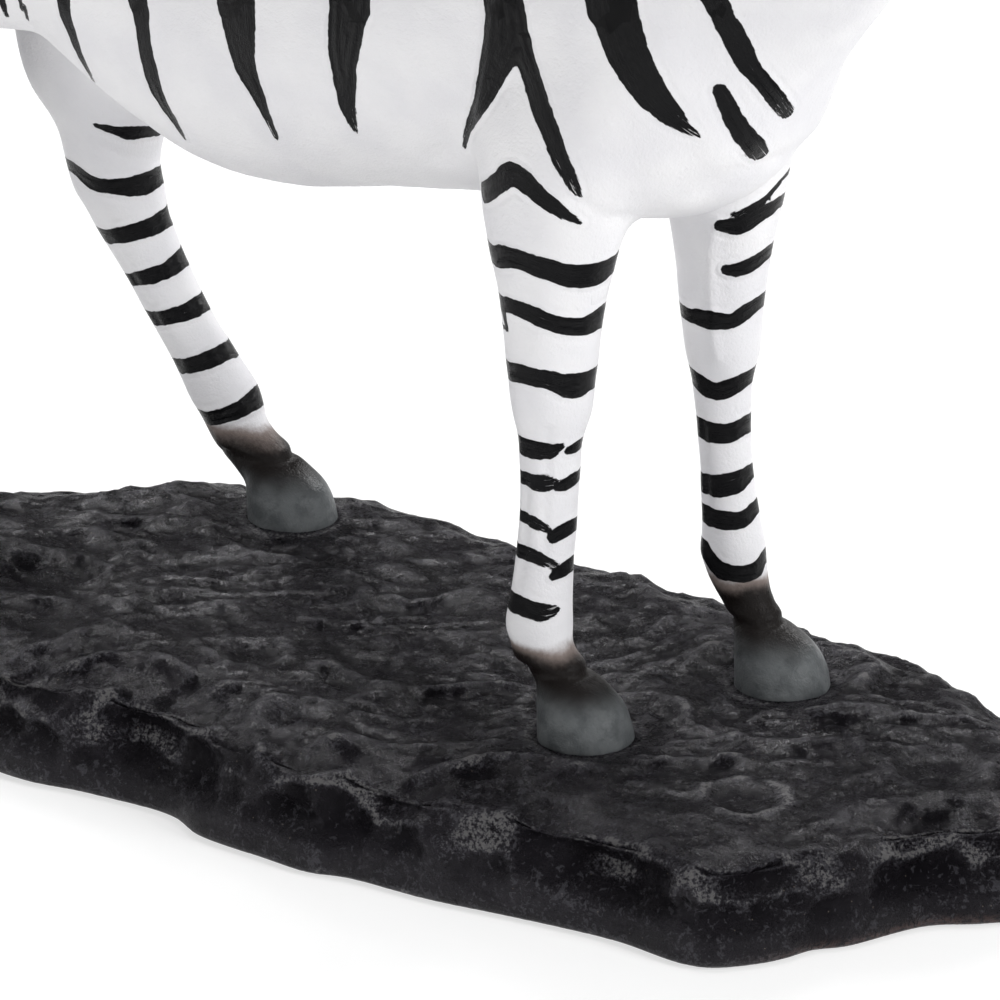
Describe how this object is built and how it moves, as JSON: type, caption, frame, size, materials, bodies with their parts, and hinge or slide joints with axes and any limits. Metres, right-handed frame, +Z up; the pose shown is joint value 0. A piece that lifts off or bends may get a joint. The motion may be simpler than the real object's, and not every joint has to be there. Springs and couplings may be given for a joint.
{
  "type": "zebra figurine",
  "caption": "Hand-painted cast resin zebra walking on a low rough dark rock plinth, a table-top ornament.",
  "frame": {"origin": "middle of the underside of the rock plinth, at the centre of the whole figurine's bounding box", "axes": "+X the way the zebra faces and walks, +Y its left side, +Z up"},
  "size_m": [0.3026, 0.1158, 0.2509],
  "materials": {
    "painted_hide": "satin white paint with glossier brushed black stripes on cast resin",
    "painted_rock": "near-black satin paint, dry-brushed grey on the ridges, on cast resin"
  },
  "bodies": {
    "root": {"zebra": "painted_hide", "rock_base": "painted_rock"}
  },
  "joints": []
}
